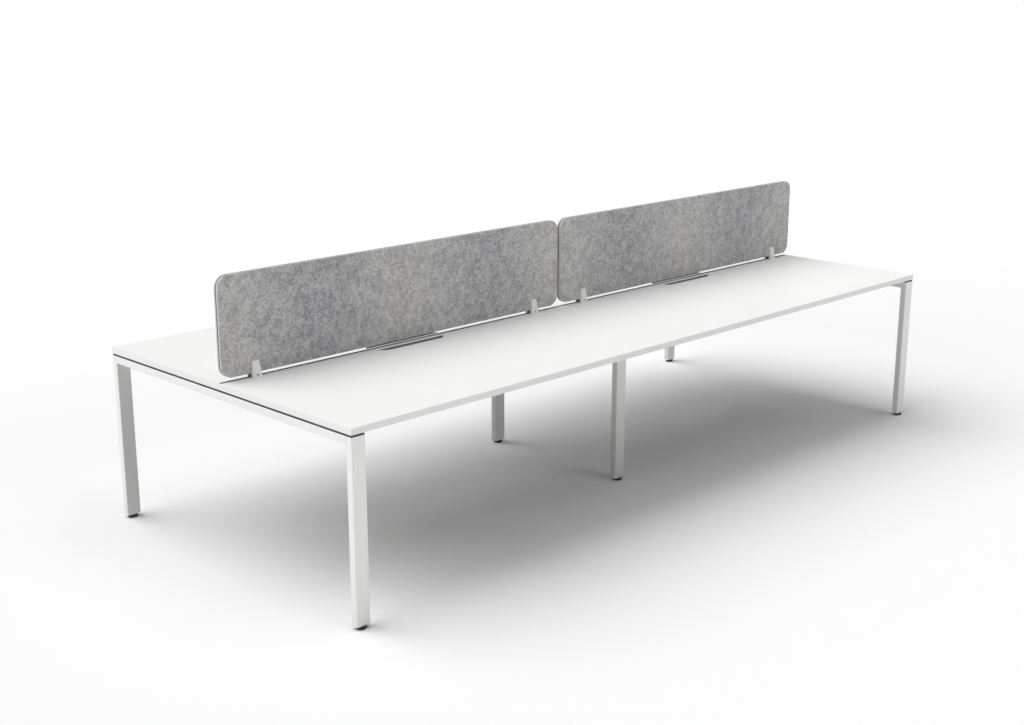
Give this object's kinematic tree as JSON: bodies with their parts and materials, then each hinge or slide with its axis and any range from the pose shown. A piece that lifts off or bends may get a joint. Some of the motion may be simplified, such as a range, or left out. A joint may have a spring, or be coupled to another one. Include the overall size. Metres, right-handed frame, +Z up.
{
  "type": "four-person workstation",
  "caption": "Bench workstation with facing worktops on a white tube frame, felt divider screens clamped along the centre gap, cable slots and levelling feet",
  "frame": {"origin": "on the floor under the middle of the workstation", "axes": "+X along the desks, +Z up, the front users sit at -Y"},
  "size_m": [3.6, 1.54, 1.131],
  "materials": {
    "board": "satin white melamine facing on particle board",
    "edge_band": "matt white ABS edge band",
    "white_steel": "white powder coat on steel tube",
    "zinc_steel": "bright zinc plated steel",
    "black_plastic": "black moulded nylon",
    "felt": "mottled mid grey pressed felt",
    "dark_core": "dark grey core board set in from the skins",
    "clamp_paint": "light grey powder coat",
    "clamp_block": "dark grey moulded nylon"
  },
  "bodies": {
    "desk": {"beam_back_left": "white_steel", "beam_back_right": "white_steel", "beam_front_left": "white_steel", "beam_front_right": "white_steel", "clamp_block_left_inner": "clamp_block", "clamp_block_left_outer": "clamp_block", "clamp_block_right_inner": "clamp_block", "clamp_block_right_outer": "clamp_block", "clamp_bolts": "zinc_steel", "clamp_jaw_left_inner_back": "clamp_paint", "clamp_jaw_left_inner_front": "clamp_paint", "clamp_jaw_left_outer_back": "clamp_paint", "clamp_jaw_left_outer_front": "clamp_paint", "clamp_jaw_right_inner_back": "clamp_paint", "clamp_jaw_right_inner_front": "clamp_paint", "clamp_jaw_right_outer_back": "clamp_paint", "clamp_jaw_right_outer_front": "clamp_paint", "clamp_plates": "zinc_steel", "clamp_screws": "zinc_steel", "edge_band_back_left": "edge_band", "edge_band_back_right": "edge_band", "edge_band_front_left": "edge_band", "edge_band_front_right": "edge_band", "joint_plates": "zinc_steel", "joint_screws": "zinc_steel", "leg_inserts": "black_plastic", "leg_left_back": "white_steel", "leg_left_front": "white_steel", "leg_middle_back": "white_steel", "leg_middle_front": "white_steel", "leg_right_back": "white_steel", "leg_right_front": "white_steel", "rail_left": "white_steel", "rail_middle": "white_steel", "rail_right": "white_steel", "screen_back_left": "felt", "screen_back_right": "felt", "screen_core_left": "dark_core", "screen_core_right": "dark_core", "screen_front_left": "felt", "screen_front_right": "felt", "top_screws": "zinc_steel", "top_spacers": "black_plastic", "worktop_back_left": "board", "worktop_back_right": "board", "worktop_front_left": "board", "worktop_front_right": "board"},
    "foot_left_front": {"foot_pad_left_front": "black_plastic", "foot_stem_left_front": "zinc_steel"},
    "foot_left_back": {"foot_pad_left_back": "black_plastic", "foot_stem_left_back": "zinc_steel"},
    "foot_middle_front": {"foot_pad_middle_front": "black_plastic", "foot_stem_middle_front": "zinc_steel"},
    "foot_middle_back": {"foot_pad_middle_back": "black_plastic", "foot_stem_middle_back": "zinc_steel"},
    "foot_right_front": {"foot_pad_right_front": "black_plastic", "foot_stem_right_front": "zinc_steel"},
    "foot_right_back": {"foot_pad_right_back": "black_plastic", "foot_stem_right_back": "zinc_steel"}
  },
  "joints": [
    {"name": "foot_left_front_level", "type": "slide", "parent": "desk", "child": "foot_left_front", "axis": [0, 0, -1], "range_m": [0, 0.015]},
    {"name": "foot_left_back_level", "type": "slide", "parent": "desk", "child": "foot_left_back", "axis": [0, 0, -1], "range_m": [0, 0.015]},
    {"name": "foot_middle_front_level", "type": "slide", "parent": "desk", "child": "foot_middle_front", "axis": [0, 0, -1], "range_m": [0, 0.015]},
    {"name": "foot_middle_back_level", "type": "slide", "parent": "desk", "child": "foot_middle_back", "axis": [0, 0, -1], "range_m": [0, 0.015]},
    {"name": "foot_right_front_level", "type": "slide", "parent": "desk", "child": "foot_right_front", "axis": [0, 0, -1], "range_m": [0, 0.015]},
    {"name": "foot_right_back_level", "type": "slide", "parent": "desk", "child": "foot_right_back", "axis": [0, 0, -1], "range_m": [0, 0.015]}
  ]
}
